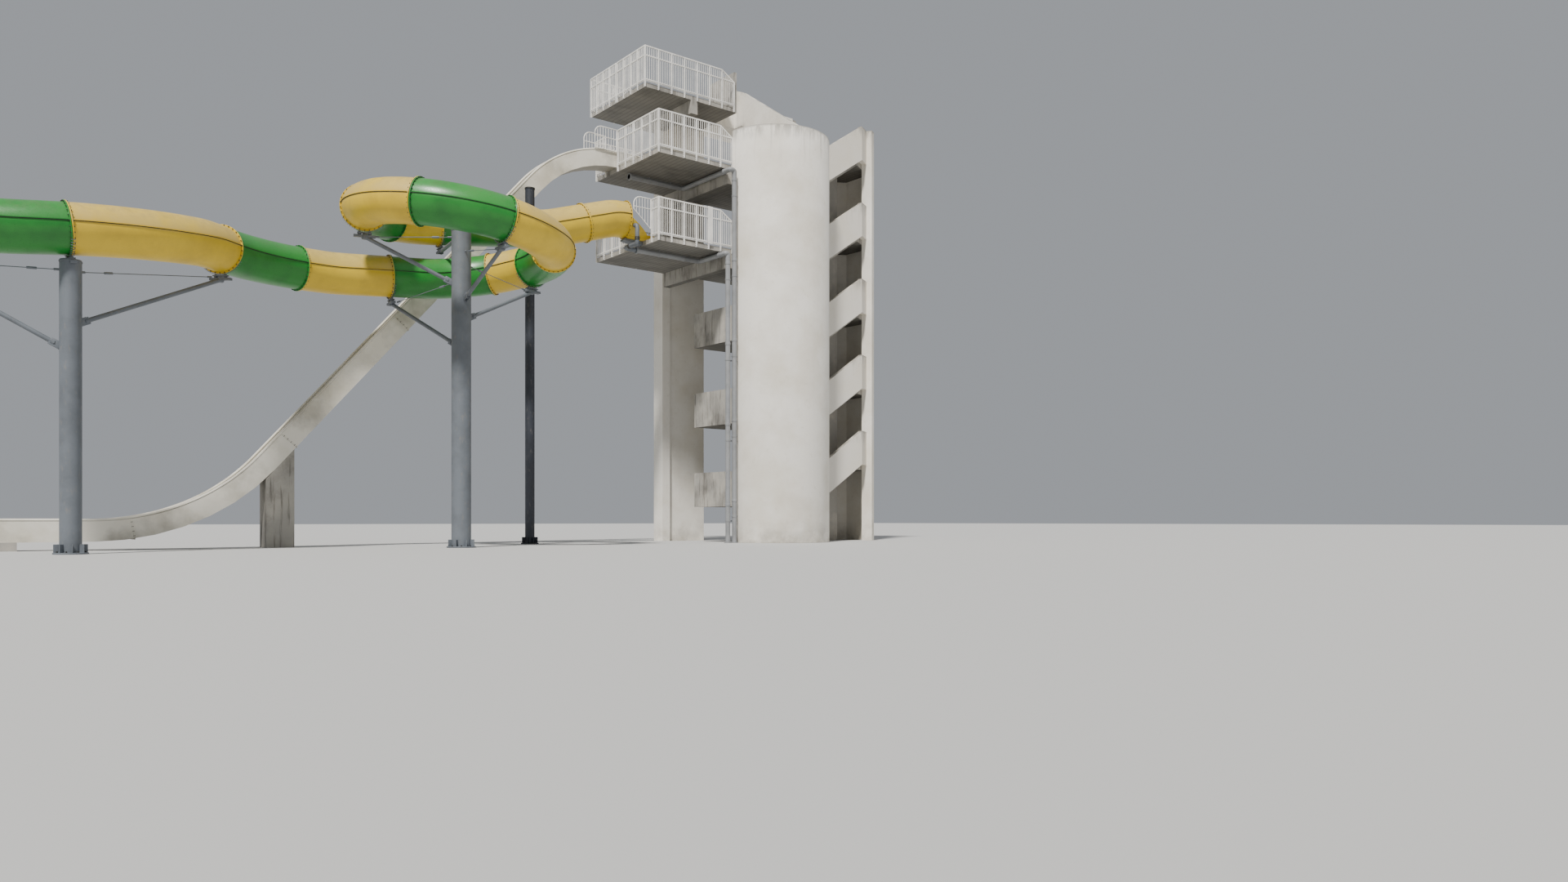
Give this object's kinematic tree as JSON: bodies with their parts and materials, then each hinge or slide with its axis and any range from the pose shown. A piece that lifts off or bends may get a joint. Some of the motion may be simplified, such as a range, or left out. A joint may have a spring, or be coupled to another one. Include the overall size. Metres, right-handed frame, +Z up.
{
  "type": "water slide tower",
  "caption": "Concrete stair tower with stacked railed start platforms, a looping enclosed tube slide on steel columns and a steep open drop slide.",
  "frame": {"origin": "centre of the footprint, on the ground", "axes": "+Z up, +X along the stair flights towards the stair's closed end, -X the way the slides run, -Y the side of the round wall"},
  "size_m": [31.685, 10.1526, 18.23],
  "materials": {
    "render": "off-white cement render, weathered, matt",
    "concrete": "bare grey concrete with dark stains, matt",
    "white_paint": "white paint on steel, satin",
    "drop_slide_coat": "off-white glass-reinforced plastic, dulled",
    "yellow": "faded yellow glass-reinforced plastic, dulled",
    "green": "green glass-reinforced plastic, glossy",
    "grey_steel": "grey coated steel, satin"
  },
  "bodies": {
    "root": {"drop_slide_lower": "drop_slide_coat", "drop_slide_pier_1": "concrete", "drop_slide_pier_2": "concrete", "drop_slide_upper": "drop_slide_coat", "first_flight": "concrete", "loop_column": "grey_steel", "lower_landing_1": "concrete", "lower_landing_2": "concrete", "lower_landing_3": "concrete", "platform_1": "concrete", "platform_2": "concrete", "platform_3": "concrete", "railing_1_front": "white_paint", "railing_1_rear": "white_paint", "railing_2_front": "white_paint", "railing_2_rear": "white_paint", "railing_3_front": "white_paint", "railing_3_rear": "white_paint", "raking_wall": "render", "rear_pier": "render", "round_wall_1": "render", "round_wall_2": "render", "round_wall_3": "render", "round_wall_4": "render", "run_column": "grey_steel", "spine_wall": "render", "stair_end_wall": "render", "stair_fin": "render", "stair_parapet_1": "render", "stair_parapet_2": "render", "stair_parapet_3": "render", "stair_parapet_4": "render", "stair_parapet_5": "render", "stair_rear_wall": "render", "stair_turn_1": "concrete", "stair_turn_2": "concrete", "stair_turn_3": "concrete", "stair_turn_4": "concrete", "stair_turn_5": "concrete", "start_mast": "grey_steel", "tube_1": "yellow", "tube_10": "yellow", "tube_11": "green", "tube_12": "yellow", "tube_13": "green", "tube_14": "yellow", "tube_15": "green", "tube_2": "yellow", "tube_3": "green", "tube_4": "yellow", "tube_5": "green", "tube_6": "yellow", "tube_7": "green", "tube_8": "yellow", "tube_9": "green", "tube_start_bracket": "grey_steel", "tube_start_tub": "yellow", "upper_landing": "render", "water_pipe_1": "grey_steel", "water_pipe_2": "grey_steel"}
  },
  "joints": []
}
